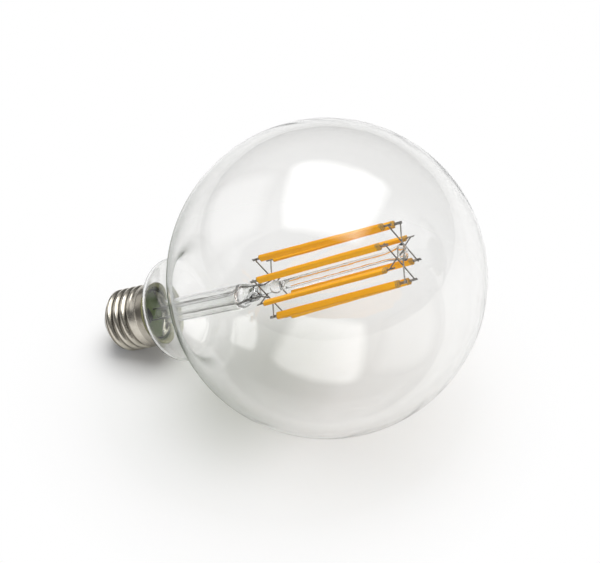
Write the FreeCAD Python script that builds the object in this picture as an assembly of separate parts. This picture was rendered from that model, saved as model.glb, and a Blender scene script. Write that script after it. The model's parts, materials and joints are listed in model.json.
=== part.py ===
"""Clear globe bulb with a ring of eight straight filaments and a screw cap, lying as it comes to rest."""
import FreeCAD, Part
import math
import os

# Globe and neck, blown as one
GLOBE_R = 62.5
GLASS_WALL = 0.9
NECK_R = 21.5
NECK_FILLET_R = 20.0
SHOULDER_R = 6.0
SHOULDER_ANGLE = 50.0
SHOULDER_RISE = 1.7
NECK_TUBE = 3.98
NECK_FIT = 0.13

# Screw cap, size 27
CREST_R = 13.1
THREAD_DEPTH = 0.97
THREAD_PITCH = 25.4 / 7.0
THREAD_CREST_WIDTH = 0.8
THREAD_ROOT_WIDTH = 0.9
THREAD_RUN_OUT = 0.25
CAP_LENGTH = 20.5
CAP_OVER_NECK = 4.5
SKIRT_LENGTH = 4.2
SKIRT_STEP = 0.1
CREST_RISE = 7.6
END_TAPER = 1.8
END_INSET = 1.5
CAP_WALL = 0.3

# Foot of the cap
INSULATOR_LENGTH = 5.0
INSULATOR_FOOT_R = 6.4
INSULATOR_WALL = 1.8
CONTACT_R = 5.2
CONTACT_DOME = 1.3
CONTACT_WALL = 0.4
CEMENT_DEPTH = 2.6

# Glass mount, which leans a little from the bulb's axis
MOUNT_LEAN_ANGLE = 3.8
MOUNT_TOWARD_ANGLE = 107.8
STEM_R = 5.0
STEM_WALL = 0.9
FLARE_TOP_RISE = 11.0
FLARE_HEIGHT = 7.5
PINCH_Z = -41.5
PINCH_SINK = 0.9
PINCH_TOP_Z = -32.0
PINCH_HALF_WIDTH = 4.4
PINCH_HALF_DEPTH = 1.7
EXHAUST_R = 2.0
EXHAUST_WALL = 0.6
EXHAUST_END_RISE = 3.0
ROD_R = 1.9
BEAD_R = 2.6
BEAD_Z = -25.0
HEAD_R = 3.6

# Filament ring
FILAMENT_COUNT = 8
RING_R = 11.95
RING_START_ANGLE = 35.6
FOOT_SHIFT = 1.8
COAT_BOTTOM_Z = -25.2
COAT_TOP_Z = 31.6
COAT_WIDTH = 2.9
COAT_DEPTH = 1.7
COAT_CORNER_R = 0.55
CARRIER_WIDTH = 1.8
CARRIER_DEPTH = 0.4
TAB_GRIP = 1.5
TAB_WIDTH = 1.1
TAB_DEPTH = 0.25
TAB_REACH = 3.4
WIRE_R = 0.28
WELD_SINK = 0.06
WELD_FROM_COAT = 2.0
WIRE_OVERRUN = 0.6
LEAD_R = 0.3
LEAD_OFFSET = 2.9
LEAD_TAIL = 1.0

# Driver in the cap
BOARD_INSET = 1.1
BOARD_WALL = 1.2
RECTIFIER_LENGTH = 4.7
RECTIFIER_WIDTH = 4.0
RECTIFIER_HEIGHT = 2.4
RECTIFIER_SHARE = (-0.264, -0.396)
CAPACITOR_R = 3.15
CAPACITOR_LENGTH = 9.0
CAPACITOR_SHARE = (0.377, 0.302)
RESISTOR_R = 1.3
RESISTOR_LENGTH = 6.0
RESISTOR_SHARE = (-0.4245, 0.283)
HOOKUP_R = 0.25
HOOKUP_ANGLE = 40.0
CLEARANCE = 0.05

# What follows from the sizes above
ROOT_R = CREST_R - THREAD_DEPTH
SKIRT_R = CREST_R + SKIRT_STEP
CAP_END_R = CREST_R - END_INSET
NECK_END_R = ROOT_R - CAP_WALL - NECK_FIT
BOARD_R = NECK_END_R - BOARD_INSET
WAIST_Z = -math.sqrt((GLOBE_R + NECK_FILLET_R) ** 2 - (NECK_R + NECK_FILLET_R) ** 2)
SHOULDER_END_R = NECK_R - SHOULDER_R * (1.0 - math.cos(math.radians(SHOULDER_ANGLE)))
SHOULDER_END_Z = WAIST_Z - SHOULDER_RISE - SHOULDER_R * math.sin(math.radians(SHOULDER_ANGLE))
CONE_END_Z = SHOULDER_END_Z - (SHOULDER_END_R - NECK_END_R) / math.tan(math.radians(SHOULDER_ANGLE))
NECK_END_Z = CONE_END_Z - NECK_TUBE
CAP_RIM_Z = NECK_END_Z + CAP_OVER_NECK
CAP_END_Z = CAP_RIM_Z - CAP_LENGTH
THREAD_TOP_Z = CAP_RIM_Z - SKIRT_LENGTH
THREAD_BOTTOM_Z = CAP_END_Z + END_TAPER
THREAD_CREST_Z = CAP_END_Z + CREST_RISE
INSULATOR_FOOT_Z = CAP_END_Z - INSULATOR_LENGTH
FLARE_TOP_Z = NECK_END_Z + FLARE_TOP_RISE
EXHAUST_END_Z = NECK_END_Z + EXHAUST_END_RISE
WELD_BOTTOM_Z = COAT_BOTTOM_Z - WELD_FROM_COAT
WELD_TOP_Z = COAT_TOP_Z + WELD_FROM_COAT
WIRE_STEP = 2.0 * WIRE_R - WELD_SINK
PLACE_ANGLE = 360.0 / FILAMENT_COUNT
CHORD_HALF_ANGLE = 1.5 * PLACE_ANGLE
CHORD_R = RING_R * math.cos(math.radians(CHORD_HALF_ANGLE))
BOARD_FOOT_Z = NECK_END_Z - BOARD_WALL

AXIS = FreeCAD.Vector(0, 0, 1)
ACROSS = FreeCAD.Vector(0, 1, 0)
ORIGIN = FreeCAD.Vector(0, 0, 0)


def point(r, z, turn=0.0):
    """A point at radius r and height z, turned about the bulb's axis by degrees."""
    a = math.radians(turn)
    return FreeCAD.Vector(r * math.cos(a), r * math.sin(a), z)


def line(a, b):
    """A straight edge between two points."""
    return Part.makeLine(a, b)


def arc(a, middle, b):
    """A round edge through three points."""
    return Part.Arc(a, middle, b).toShape()


def arc_about(centre, radius, start, end):
    """A round edge in the section plane, from one angle in degrees to another."""
    turns = [math.radians(start + (end - start) * k / 2.0) for k in range(3)]
    ends = [centre + FreeCAD.Vector(radius * math.cos(t), 0, radius * math.sin(t)) for t in turns]
    return arc(*ends)


def turned(edges):
    """The solid that a closed section makes when it is turned about the bulb's axis."""
    return Part.Face(Part.Wire(edges)).revolve(ORIGIN, AXIS, 360)


def outline(points):
    """Straight edges round a closed section."""
    return [line(a, b) for a, b in zip(points, points[1:] + points[:1])]


def end_of(edge, first=True):
    """One end of an edge, in its own direction."""
    return edge.valueAt(edge.FirstParameter if first else edge.LastParameter)


def rod(a, b, radius):
    """A round bar between two points."""
    return Part.makeCylinder(radius, (b - a).Length, a, b - a)


def bent_wire(points, radius):
    """A round wire through points, with mitred corners."""
    path = Part.Wire([line(a, b) for a, b in zip(points, points[1:])])
    ring = Part.Wire(Part.makeCircle(radius, points[0], points[1] - points[0]))
    sweep = Part.BRepOffsetAPI.MakePipeShell(path)
    sweep.setTransitionMode(1)
    sweep.add(ring)
    sweep.build()
    sweep.makeSolid()
    return sweep.shape()


def on_mount(shape, share=1.0):
    """A shape of the mount, leaned from the bulb's axis about the pinch's foot by a share of the lean."""
    leaned = shape.copy()
    leaned.rotate(point(0, PINCH_Z), point(1, 0, MOUNT_TOWARD_ANGLE + 90), MOUNT_LEAN_ANGLE * share)
    return leaned


def leaned_point(place):
    """A point of the mount, leaned as its shapes are."""
    return on_mount(Part.Vertex(place)).Point


# Envelope


def neck_section(inset):
    """Edges of the envelope's wall from the globe's pole to the neck's end, inset from the outside."""
    globe = GLOBE_R - inset
    fillet = NECK_FILLET_R + inset
    shoulder = SHOULDER_R - inset
    fillet_r = NECK_R + NECK_FILLET_R
    meet = -math.degrees(math.atan2(-WAIST_Z, fillet_r))
    centre = point(NECK_R - SHOULDER_R, WAIST_Z - SHOULDER_RISE)
    crown = arc_about(ORIGIN, globe, 90, meet)
    waist = arc_about(point(fillet_r, WAIST_Z), fillet, 180 + meet, 180)
    corner = arc_about(centre, shoulder, 0, -SHOULDER_ANGLE)
    corner_end = end_of(corner, False)
    end_r = NECK_END_R - inset
    drop = (corner_end.x - end_r) / math.tan(math.radians(SHOULDER_ANGLE))
    cone_end = point(end_r, corner_end.z - drop)
    return [
        crown,
        waist,
        line(end_of(waist, False), end_of(corner)),
        corner,
        line(corner_end, cone_end),
        line(cone_end, point(end_r, NECK_END_Z)),
    ]


def glass_envelope():
    """The hollow globe and neck, open at the neck's end."""
    outside = neck_section(0.0)
    inside = neck_section(GLASS_WALL)
    pole = line(end_of(inside[0]), end_of(outside[0]))
    foot = line(end_of(outside[-1], False), end_of(inside[-1], False))
    return turned(outside + [foot] + inside[::-1] + [pole])


# Cap


def thread_groove():
    """The helical groove of the thread, open at the cap's end and run out below the skirt."""
    low = THREAD_CREST_Z + THREAD_PITCH / 2.0
    while low > CAP_END_Z - THREAD_ROOT_WIDTH:
        low -= THREAD_PITCH
    turns = (THREAD_TOP_Z - THREAD_PITCH / 2.0 - low) / THREAD_PITCH
    helix = Part.makeHelix(THREAD_PITCH, THREAD_PITCH * turns, ROOT_R)
    helix.translate(point(0, low))
    depth = CREST_R - ROOT_R
    rise = THREAD_PITCH * THREAD_RUN_OUT
    spread = math.degrees(math.atan2(depth * 1.1, rise))
    run_out = Part.makeHelix(THREAD_PITCH, rise, ROOT_R, spread)
    run_out.rotate(ORIGIN, AXIS, 360.0 * turns)
    run_out.translate(point(0, low + THREAD_PITCH * turns))
    root = THREAD_ROOT_WIDTH / 2.0
    mouth = (THREAD_PITCH - THREAD_CREST_WIDTH) / 2.0
    upper = [
        point(ROOT_R, low + root),
        point(ROOT_R + depth / 2.0, low + (root + mouth) * 0.54),
        point(CREST_R + depth / 2.0, low + mouth),
    ]
    lower = [point(p.x, 2.0 * low - p.z) for p in upper[::-1]]
    sweep = Part.BRepOffsetAPI.MakePipeShell(Part.Wire(helix.Edges + run_out.Edges))
    sweep.setFrenetMode(True)
    sweep.add(Part.Wire(outline(upper + lower)))
    sweep.build()
    sweep.makeSolid()
    return sweep.shape()


def cap_form(inset, thread_r):
    """The cap's form without its groove, from the rolled-in end to the rim, inset from the outside."""
    section = [
        point(0, CAP_END_Z),
        point(CAP_END_R - inset, CAP_END_Z),
        point(thread_r - inset, THREAD_BOTTOM_Z),
        point(thread_r - inset, THREAD_TOP_Z),
        point(SKIRT_R - inset, THREAD_TOP_Z + SKIRT_R - ROOT_R),
        point(SKIRT_R - inset, CAP_RIM_Z),
        point(0, CAP_RIM_Z),
    ]
    return turned(outline(section))


def cap_shell():
    """The rolled metal shell with its thread."""
    return cap_form(0.0, CREST_R).cut(thread_groove()).cut(cap_form(CAP_WALL, ROOT_R))


def cap_insulator():
    """The cone between the shell and the contact, with a hole for the contact's wire."""
    top_r = CAP_END_R - CAP_WALL - CLEARANCE
    slope = (top_r - INSULATOR_FOOT_R) / (CAP_END_Z - INSULATOR_FOOT_Z)
    inner_foot_z = INSULATOR_FOOT_Z + INSULATOR_WALL
    section = [
        point(HOOKUP_R + CLEARANCE, INSULATOR_FOOT_Z),
        point(INSULATOR_FOOT_R, INSULATOR_FOOT_Z),
        point(CAP_END_R, CAP_END_Z),
        point(top_r, CAP_END_Z),
        point(top_r, THREAD_BOTTOM_Z),
        point(top_r - INSULATOR_WALL, THREAD_BOTTOM_Z),
        point(INSULATOR_FOOT_R - INSULATOR_WALL + slope * INSULATOR_WALL, inner_foot_z),
        point(HOOKUP_R + CLEARANCE, inner_foot_z),
    ]
    return turned(outline(section))


def centre_contact():
    """The pressed sheet contact at the cap's foot."""
    low = INSULATOR_FOOT_Z - CONTACT_DOME
    flat_r = CONTACT_R / 2.0
    inner_r = CONTACT_R - CONTACT_WALL
    section = [
        point(0, low),
        point(flat_r, low),
        point(CONTACT_R, INSULATOR_FOOT_Z),
        point(inner_r, INSULATOR_FOOT_Z),
        point(flat_r, low + CONTACT_WALL),
        point(0, low + CONTACT_WALL),
    ]
    return turned(outline(section))


def basing_cement():
    """The ring of cement that holds the neck in the cap's skirt."""
    outer_r = SKIRT_R - CAP_WALL
    cone = neck_section(0.0)[4]
    cone_end = end_of(cone, False)
    rise = (outer_r - cone_end.x) / math.tan(math.radians(SHOULDER_ANGLE))
    section = [
        point(NECK_END_R, CAP_RIM_Z - CEMENT_DEPTH),
        point(outer_r, CAP_RIM_Z - CEMENT_DEPTH),
        point(outer_r, cone_end.z + rise),
        cone_end,
    ]
    return turned(outline(section))


# Glass mount


def flare_and_tube():
    """The stem's bell, from its seal in the neck's end, and its tube up to the pinch."""
    foot_r = NECK_END_R - GLASS_WALL
    spread = foot_r - STEM_R
    bend = (spread ** 2 + FLARE_HEIGHT ** 2) / (2.0 * spread)
    centre = point(STEM_R + bend, FLARE_TOP_Z)

    def side(inset):
        turn = math.degrees(math.acos((centre.x - foot_r + inset) / (bend + inset)))
        curve = arc_about(centre, bend + inset, 180, 180 + turn)
        tube = line(point(STEM_R - inset, PINCH_Z), end_of(curve))
        return [tube, curve, line(end_of(curve, False), point(foot_r - inset, NECK_END_Z))]

    outside = side(0.0)
    inside = side(STEM_WALL)
    top = line(end_of(inside[0]), end_of(outside[0]))
    foot = line(end_of(outside[-1], False), end_of(inside[-1], False))
    return turned(outside + [foot] + inside[::-1] + [top])


def oval(half_width, half_depth, z):
    """A flat ring across the mount, long in the lead wires' direction."""
    curve = Part.Ellipse(ORIGIN, half_width, half_depth)
    ring = Part.Wire(curve.toShape())
    ring.rotate(ORIGIN, AXIS, group_turn(0))
    ring.translate(FreeCAD.Vector(0, 0, z))
    return ring


def pinch():
    """The solid flat end of the stem, which leans from the tube and seals in the lead wires."""
    rise = PINCH_TOP_Z - PINCH_Z
    foot_r = STEM_R - STEM_WALL * 0.3
    rings = [
        oval(foot_r, foot_r - CLEARANCE, PINCH_Z - PINCH_SINK),
        oval(foot_r, STEM_R * 0.8, PINCH_Z + rise * 0.25),
        oval(PINCH_HALF_WIDTH, PINCH_HALF_DEPTH * 1.2, PINCH_Z + rise * 0.55),
        oval(PINCH_HALF_WIDTH, PINCH_HALF_DEPTH, PINCH_Z + rise * 0.8),
        oval(PINCH_HALF_WIDTH * 0.85, PINCH_HALF_DEPTH * 0.8, PINCH_TOP_Z),
    ]
    rings = [on_mount(ring, min(k / 2.0, 1.0)) for k, ring in enumerate(rings)]
    return Part.makeLoft(rings, True, False)


def stem_flare(leads):
    """The bell, tube and pinch of the stem in one piece of glass."""
    return flare_and_tube().fuse(pinch()).cut(leads)


def exhaust_tube():
    """The thin tube inside the stem, open at the pinch and sealed round at its foot."""
    top_z = PINCH_Z - PINCH_SINK
    outer_foot = EXHAUST_END_Z + EXHAUST_R
    inner_r = EXHAUST_R - EXHAUST_WALL
    outer = arc_about(point(0, outer_foot), EXHAUST_R, 0, -90)
    inner = arc_about(point(0, outer_foot), inner_r, 0, -90)
    edges = [
        line(point(EXHAUST_R, top_z), point(EXHAUST_R, outer_foot)),
        outer,
        line(end_of(outer, False), end_of(inner, False)),
        inner,
        line(point(inner_r, outer_foot), point(inner_r, top_z)),
        line(point(inner_r, top_z), point(EXHAUST_R, top_z)),
    ]
    return turned(edges)


def centre_rod(wires):
    """The glass rod from the pinch to the spread head that holds the crossing wires."""
    waist = math.sqrt(BEAD_R ** 2 - ROD_R ** 2)
    head_rim = WELD_TOP_Z + HEAD_R / 4.0
    dome_r = 1.5 * HEAD_R
    dome_z = head_rim - math.sqrt(dome_r ** 2 - HEAD_R ** 2)
    dome = arc_about(point(0, dome_z), dome_r, math.degrees(math.acos(HEAD_R / dome_r)), 90)
    edges = [
        line(point(0, PINCH_TOP_Z), point(ROD_R, PINCH_TOP_Z)),
        line(point(ROD_R, PINCH_TOP_Z), point(ROD_R, BEAD_Z - waist)),
        arc(point(ROD_R, BEAD_Z - waist), point(BEAD_R, BEAD_Z), point(ROD_R, BEAD_Z + waist)),
        line(point(ROD_R, BEAD_Z + waist), point(ROD_R, head_rim - 2.0 * HEAD_R)),
        line(point(ROD_R, head_rim - 2.0 * HEAD_R), end_of(dome)),
        dome,
        line(end_of(dome, False), point(0, PINCH_TOP_Z)),
    ]
    return on_mount(turned(edges)).cut(wires)


# Filament ring: each half has four places, the outer two on a chord wire and the inner two on cross wires


def place_turn(place):
    """Angle of a place round the ring."""
    return RING_START_ANGLE + place * PLACE_ANGLE


def group_turn(group):
    """Angle of the middle of one half of the ring."""
    return place_turn(4 * group + 1.5)


def on_chord(place):
    """Whether the filament at a place is welded to the end of a chord wire."""
    return place % 4 in (0, 3)


def chord_wire(group, z, shift=0.0):
    """The straight wire between the outer two filaments of one half, the last one set further along it."""
    ends = [point(RING_R, z, place_turn(4 * group + k)) for k in (0, 3)]
    along = (ends[1] - ends[0]).normalize()
    last = ends[1] + along * (WIRE_OVERRUN + shift)
    return on_mount(rod(ends[0] - along * WIRE_OVERRUN, last, WIRE_R))


def cross_wire(place, z):
    """The straight wire through the head, between two filaments that face each other."""
    reach = RING_R + WIRE_OVERRUN
    return on_mount(rod(point(reach, z, place_turn(place)), point(-reach, z, place_turn(place)), WIRE_R))


def branch_wire(place):
    """The short wire from a filament's lower tab in to its half's chord wire."""
    inner = CHORD_R / math.cos(math.radians(PLACE_ANGLE / 2.0)) - WIRE_OVERRUN
    z = WELD_BOTTOM_Z + WIRE_STEP
    turn = place_turn(place)
    return on_mount(rod(point(RING_R + WIRE_OVERRUN, z, turn), point(inner, z, turn), WIRE_R))


def lead_wire(group):
    """The wire from the driver board up through the stem and out to one half's chord wire."""
    turn = group_turn(group)
    points = [
        point(LEAD_OFFSET, BOARD_FOOT_Z - LEAD_TAIL, turn),
        point(LEAD_OFFSET, PINCH_Z, turn),
        leaned_point(point(LEAD_OFFSET, PINCH_TOP_Z + 2.0 * LEAD_R, turn)),
        leaned_point(point(CHORD_R, WELD_BOTTOM_Z - WIRE_R - LEAD_R + WELD_SINK, turn)),
    ]
    return bent_wire(points, LEAD_R)


def bar(width, depth, bottom, top):
    """An upright bar with its flat across the depth."""
    return Part.makeBox(width, depth, top - bottom, FreeCAD.Vector(-width / 2.0, -depth / 2.0, bottom))


def at_place(shape, place):
    """A filament's piece moved to its place, its flat against its wire; the last of a half stands askew."""
    flat_turn = group_turn(place // 4) if on_chord(place) else place_turn(place) + 90.0
    aside = point(WIRE_R + TAB_DEPTH / 2.0 - WELD_SINK, 0, flat_turn)
    moved = shape.copy()
    moved.rotate(ORIGIN, AXIS, flat_turn - 90.0)
    moved.translate(point(RING_R, 0, place_turn(place)) + aside)
    if place % 4 == 3:
        askew = math.degrees(math.atan2(FOOT_SHIFT, WELD_TOP_Z - WELD_BOTTOM_Z))
        moved.rotate(point(RING_R, WELD_TOP_Z, place_turn(place)), point(1, 0, flat_turn), askew)
    return on_mount(moved)


def filament(place, wires):
    """The coat, carrier strip and two tabs of one filament, by name."""
    number = place + 1
    coat = bar(COAT_WIDTH, COAT_DEPTH, COAT_BOTTOM_Z, COAT_TOP_Z)
    upright = [edge for edge in coat.Edges if edge.BoundBox.ZLength > COAT_WIDTH]
    coat = coat.makeFillet(COAT_CORNER_R, upright)
    carrier = bar(CARRIER_WIDTH, CARRIER_DEPTH, COAT_BOTTOM_Z + TAB_GRIP, COAT_TOP_Z - TAB_GRIP)
    lower = bar(TAB_WIDTH, TAB_DEPTH, COAT_BOTTOM_Z - TAB_REACH, COAT_BOTTOM_Z + TAB_GRIP)
    upper = bar(TAB_WIDTH, TAB_DEPTH, COAT_TOP_Z - TAB_GRIP, COAT_TOP_Z + TAB_REACH)
    coat = coat.cut([carrier, lower, upper])
    return {
        f"filament_{number}_coat": at_place(coat, place),
        f"filament_{number}_carrier": at_place(carrier, place),
        f"filament_{number}_lower_tab": at_place(lower, place).cut(wires),
        f"filament_{number}_upper_tab": at_place(upper, place).cut(wires),
    }


def filament_ring():
    """Wires, glass and filaments of the leaning mount, by name."""
    lower_chords = [chord_wire(group, WELD_BOTTOM_Z, FOOT_SHIFT) for group in (0, 1)]
    upper_chords = [chord_wire(group, WELD_TOP_Z) for group in (0, 1)]
    single = [place for place in range(FILAMENT_COUNT) if not on_chord(place)]
    branches = [branch_wire(place).cut(lower_chords) for place in single]
    crosses = [
        cross_wire(1, WELD_TOP_Z - WIRE_STEP).cut(upper_chords),
        cross_wire(2, WELD_TOP_Z + WIRE_STEP).cut(upper_chords),
    ]
    leads = [lead_wire(group).cut(lower_chords) for group in (0, 1)]
    pieces = {
        "stem_flare": stem_flare(leads),
        "exhaust_tube": exhaust_tube(),
        "centre_rod": centre_rod(crosses),
    }
    rows = {
        "lower_chord_wire": lower_chords,
        "upper_chord_wire": upper_chords,
        "lower_branch_wire": branches,
        "upper_cross_wire": crosses,
        "lead_wire": leads,
    }
    for name, wires in rows.items():
        pieces.update({f"{name}_{k + 1}": wire for k, wire in enumerate(wires)})
    welded = lower_chords + upper_chords + branches + crosses
    for place in range(FILAMENT_COUNT):
        pieces.update(filament(place, welded))
    return pieces


# Driver


def on_board(share, z):
    """A point on a face of the board, at shares of the board's radius."""
    return FreeCAD.Vector(share[0] * BOARD_R, share[1] * BOARD_R, z)


def driver(leads, contact):
    """The board across the neck's end, its parts and the wires to the cap, by name."""
    board = rod(point(0, BOARD_FOOT_Z), point(0, NECK_END_Z), BOARD_R).cut(leads)
    rectifier = Part.makeBox(RECTIFIER_LENGTH, RECTIFIER_WIDTH, RECTIFIER_HEIGHT)
    middle = FreeCAD.Vector(RECTIFIER_LENGTH / 2.0, RECTIFIER_WIDTH / 2.0, 0)
    rectifier.translate(on_board(RECTIFIER_SHARE, NECK_END_Z) - middle)
    foot = on_board(CAPACITOR_SHARE, BOARD_FOOT_Z)
    capacitor = rod(foot - AXIS * CAPACITOR_LENGTH, foot, CAPACITOR_R)
    seat = on_board(RESISTOR_SHARE, BOARD_FOOT_Z)
    resistor_end = seat - AXIS * RESISTOR_LENGTH
    resistor = rod(resistor_end, seat, RESISTOR_R)
    contact_wire = bent_wire(
        [
            resistor_end,
            resistor_end - AXIS * RESISTOR_R,
            point(0, THREAD_BOTTOM_Z),
            point(0, INSULATOR_FOOT_Z - CONTACT_DOME + CONTACT_WALL),
        ],
        HOOKUP_R,
    )
    edge_z = NECK_END_Z - BOARD_WALL / 2.0
    shell_r = math.sqrt((ROOT_R - CAP_WALL) ** 2 - HOOKUP_R ** 2)
    edge, shell_side = [point(r, edge_z, HOOKUP_ANGLE) for r in (BOARD_R - HOOKUP_R, shell_r)]
    return {
        "driver_board": board,
        "rectifier": rectifier,
        "capacitor": capacitor,
        "fusible_resistor": resistor,
        "contact_wire": contact_wire.cut(contact),
        "shell_wire": rod(edge, shell_side, HOOKUP_R).cut(board),
    }


# Rest


def rest_turn(cap):
    """Angle of the axis above the floor in degrees, found by tilting the bulb until its cap touches."""
    reach = math.hypot(CAP_END_Z, CAP_END_R)
    turn = math.degrees(math.asin(GLOBE_R / reach) - math.atan2(CAP_END_R, -CAP_END_Z))
    for _ in range(4):
        laid = cap.copy()
        laid.rotate(ORIGIN, ACROSS, 90.0 - turn)
        gap = laid.optimalBoundingBox(False, False).ZMin + GLOBE_R
        turn += math.degrees(gap / (-CAP_END_Z * math.cos(math.radians(turn))))
    return turn


def at_rest(pieces):
    """All pieces lying on the floor, the middle of their box over the origin."""
    turn = 90.0 - rest_turn(pieces["cap_shell"])
    for shape in pieces.values():
        shape.rotate(ORIGIN, ACROSS, turn)
    box = Part.makeCompound(list(pieces.values())).optimalBoundingBox(False, False)
    shift = FreeCAD.Vector(-(box.XMin + box.XMax) / 2.0, -(box.YMin + box.YMax) / 2.0, -box.ZMin)
    for shape in pieces.values():
        shape.translate(shift)
    return pieces


def globe_bulb():
    """Every piece of the bulb, by name."""
    pieces = filament_ring()
    pieces["glass_envelope"] = glass_envelope()
    pieces["cap_shell"] = cap_shell()
    pieces["cap_insulator"] = cap_insulator()
    pieces["centre_contact"] = centre_contact()
    pieces["basing_cement"] = basing_cement()
    leads = [pieces["lead_wire_1"], pieces["lead_wire_2"]]
    pieces.update(driver(leads, pieces["centre_contact"]))
    return at_rest(pieces)


os.makedirs("parts", exist_ok=True)
for node, solid in globe_bulb().items():
    solid.exportStep(f"parts/{node}.step")
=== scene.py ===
"""Looks of a clear globe bulb with a ring of straight filaments, lying on a pale studio floor.

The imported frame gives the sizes, the rest position and the hidden pieces. Everything that shows is
modelled here again in the bulb's own millimetre frame, with its axis on +Z and the globe's centre at the
origin, and is then laid down in the row frame.
"""

from __future__ import annotations

import json
import logging
import math
from dataclasses import dataclass, field
from enum import Enum
from typing import Any, Iterable, Mapping, Sequence, Union

import bmesh
import bpy
from bmesh.types import BMEdge, BMesh, BMVert
from mathutils import Matrix, Vector

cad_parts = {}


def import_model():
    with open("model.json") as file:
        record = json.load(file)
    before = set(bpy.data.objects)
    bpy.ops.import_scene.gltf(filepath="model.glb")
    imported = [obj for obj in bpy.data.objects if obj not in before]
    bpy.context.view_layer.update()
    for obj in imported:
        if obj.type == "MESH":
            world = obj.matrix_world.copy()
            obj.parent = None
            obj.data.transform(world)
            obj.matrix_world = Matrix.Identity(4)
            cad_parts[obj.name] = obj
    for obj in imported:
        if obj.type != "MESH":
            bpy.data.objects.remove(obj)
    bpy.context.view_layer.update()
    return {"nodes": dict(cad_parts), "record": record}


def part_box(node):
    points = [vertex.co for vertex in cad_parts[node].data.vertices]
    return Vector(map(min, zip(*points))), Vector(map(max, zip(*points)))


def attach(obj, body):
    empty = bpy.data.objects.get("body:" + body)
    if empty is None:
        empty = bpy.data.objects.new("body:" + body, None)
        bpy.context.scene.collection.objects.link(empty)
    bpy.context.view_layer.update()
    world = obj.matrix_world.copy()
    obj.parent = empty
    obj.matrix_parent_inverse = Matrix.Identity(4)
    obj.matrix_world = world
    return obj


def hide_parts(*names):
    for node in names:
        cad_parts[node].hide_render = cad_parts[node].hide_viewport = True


Colour = tuple[float, float, float]
Value = Union["Signal", float, Sequence[float]]

LOG = logging.getLogger("globe_bulb")
PICTURE_WIDTH = 600
MILLIMETRE = 0.001
BULB_AXIS = (0.865, 0.0, 0.502)
WHITE: Colour = (1.0, 1.0, 1.0)
BLACK: Colour = (0.0, 0.0, 0.0)


# Shader expressions


class Signal:
    """A shader socket that takes part in Python arithmetic."""

    def __init__(self, shader: "Shader", socket: bpy.types.NodeSocket) -> None:
        """Wraps an output socket of a node in the given shader."""
        self.shader = shader
        self.socket = socket

    def _math(self, operation: str, first: Value, second: Value = 0.0) -> "Signal":
        """Adds one Math node and returns its result."""
        return self.shader.node("ShaderNodeMath", {"operation": operation}, {0: first, 1: second})

    def __add__(self, other: Value) -> "Signal":
        """Returns self + other."""
        return self._math("ADD", self, other)

    def __radd__(self, other: Value) -> "Signal":
        """Returns other + self."""
        return self._math("ADD", other, self)

    def __sub__(self, other: Value) -> "Signal":
        """Returns self - other."""
        return self._math("SUBTRACT", self, other)

    def __rsub__(self, other: Value) -> "Signal":
        """Returns other - self."""
        return self._math("SUBTRACT", other, self)

    def __mul__(self, other: Value) -> "Signal":
        """Returns self * other."""
        return self._math("MULTIPLY", self, other)

    def __rmul__(self, other: Value) -> "Signal":
        """Returns other * self."""
        return self._math("MULTIPLY", other, self)

    def __truediv__(self, other: Value) -> "Signal":
        """Returns self / other."""
        return self._math("DIVIDE", self, other)

    def __pow__(self, other: Value) -> "Signal":
        """Returns self raised to other."""
        return self._math("POWER", self, other)

    def size(self) -> "Signal":
        """Returns self without its sign."""
        return self._math("ABSOLUTE", self)

    def highest(self, other: Value) -> "Signal":
        """Returns the larger of self and other."""
        return self._math("MAXIMUM", self, other)

    def lowest(self, other: Value) -> "Signal":
        """Returns the smaller of self and other."""
        return self._math("MINIMUM", self, other)

    def clamped(self) -> "Signal":
        """Returns self held between 0 and 1."""
        return self.highest(0.0).lowest(1.0)


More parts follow.
